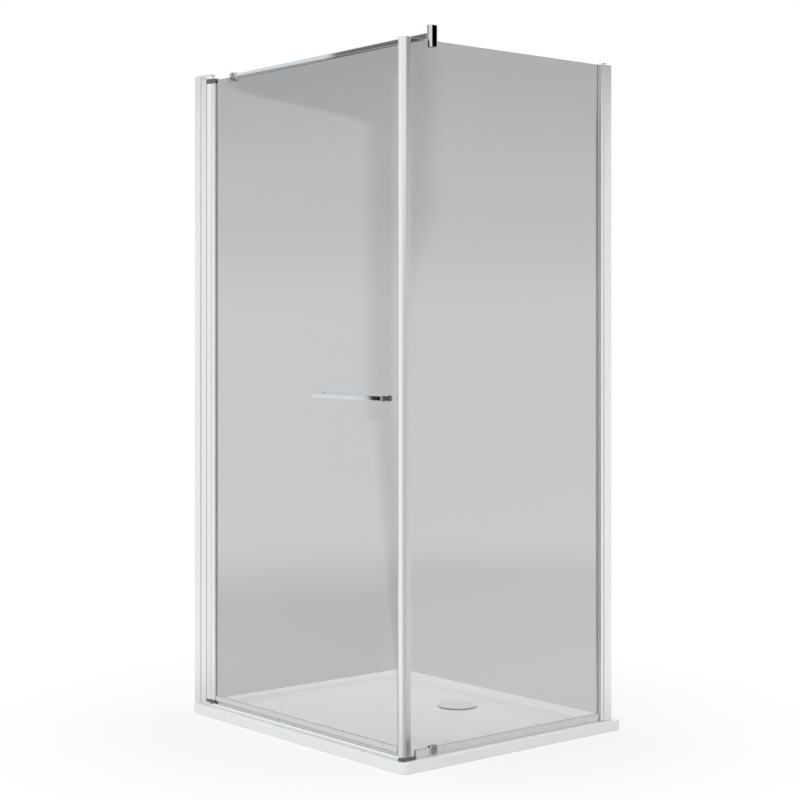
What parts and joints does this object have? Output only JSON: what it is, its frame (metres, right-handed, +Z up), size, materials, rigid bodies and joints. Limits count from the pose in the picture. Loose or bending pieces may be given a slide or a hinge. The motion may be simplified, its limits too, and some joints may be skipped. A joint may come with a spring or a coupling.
{
  "type": "shower enclosure",
  "caption": "Corner shower enclosure with a hinged glass door, a fixed glass side panel, a low tray with a domed drain cover, and a stabilising bar.",
  "frame": {"origin": "on the floor, midway between the hinge wall and the tray's far side and between the tray's front and the back wall", "axes": "+Z up, +X along the door away from the hinge wall, +Y from the door towards the back wall"},
  "size_m": [1, 0.842, 1.972],
  "materials": {
    "tray_resin": "smooth white gelcoat",
    "drain_plastic": "smooth white",
    "satin_aluminium": "satin silver anodised",
    "chrome": "polished",
    "stainless_steel": "plain",
    "black_plastic": "fine moulded",
    "dark_rubber": "smooth",
    "seal_plastic": "translucent grey",
    "white_acetal": "moulded",
    "clear_glass": "toughened, polished edges"
  },
  "bodies": {
    "enclosure": {"shower_tray": "tray_resin", "hinge_wall_channel": "satin_aluminium", "hinge_frame_profile": "satin_aluminium", "pivot_block_bottom": "satin_aluminium", "pivot_block_top": "satin_aluminium", "threshold_bar": "satin_aluminium", "side_wall_channel": "satin_aluminium", "side_frame_profile": "satin_aluminium", "side_profile_cap": "satin_aluminium", "corner_profile": "satin_aluminium", "corner_cap": "satin_aluminium", "drain_flange": "chrome", "bottom_clamp": "chrome", "top_clamp": "chrome", "stabiliser_bar": "chrome", "bar_wall_bracket": "chrome", "hinge_adjusting_screw_1": "stainless_steel", "hinge_adjusting_screw_2": "stainless_steel", "hinge_adjusting_screw_3": "stainless_steel", "side_adjusting_screw_1": "stainless_steel", "side_adjusting_screw_2": "stainless_steel", "side_adjusting_screw_3": "stainless_steel", "pivot_block_screw_bottom": "stainless_steel", "pivot_block_screw_top": "stainless_steel", "pivot_pin_bottom": "stainless_steel", "pivot_pin_top": "stainless_steel", "bottom_clamp_screw": "stainless_steel", "top_clamp_glass_screw": "stainless_steel", "top_clamp_bar_screw": "stainless_steel", "bar_bracket_screw": "stainless_steel", "corner_foot": "black_plastic", "drain_upper_gasket": "dark_rubber", "drain_lower_gasket": "dark_rubber", "corner_magnetic_strip": "dark_rubber", "bottom_clamp_pads": "dark_rubber", "top_clamp_pads": "dark_rubber", "corner_glazing_gasket": "seal_plastic", "side_glazing_gasket": "seal_plastic", "side_seal_front": "seal_plastic", "side_seal_rear": "seal_plastic", "drain_locknut": "white_acetal", "side_glass": "clear_glass"},
    "door": {"door_pivot_profile": "satin_aluminium", "door_end_piece_bottom": "black_plastic", "door_end_piece_top": "black_plastic", "pivot_bush_bottom": "white_acetal", "pivot_bush_top": "white_acetal", "door_glass": "clear_glass", "door_glazing_gasket": "seal_plastic", "door_bottom_seal": "seal_plastic", "door_magnetic_seal": "dark_rubber", "handle_rail": "chrome", "handle_post_left": "chrome", "handle_post_right": "chrome", "handle_sleeve_left": "seal_plastic", "handle_sleeve_right": "seal_plastic", "handle_inner_cap_left": "chrome", "handle_inner_cap_right": "chrome"},
    "drain_insert": {"drain_strainer": "white_acetal", "drain_cover": "drain_plastic"}
  },
  "joints": [
    {"name": "door_swing", "type": "hinge", "parent": "enclosure", "child": "door", "pos_m": [-0.432, -0.374, 1], "axis": [0, 0, -1], "range_deg": [0, 90]},
    {"name": "drain_insert_lift", "type": "slide", "parent": "enclosure", "child": "drain_insert", "axis": [0, 0, 1], "range_m": [0, 0.06]}
  ]
}
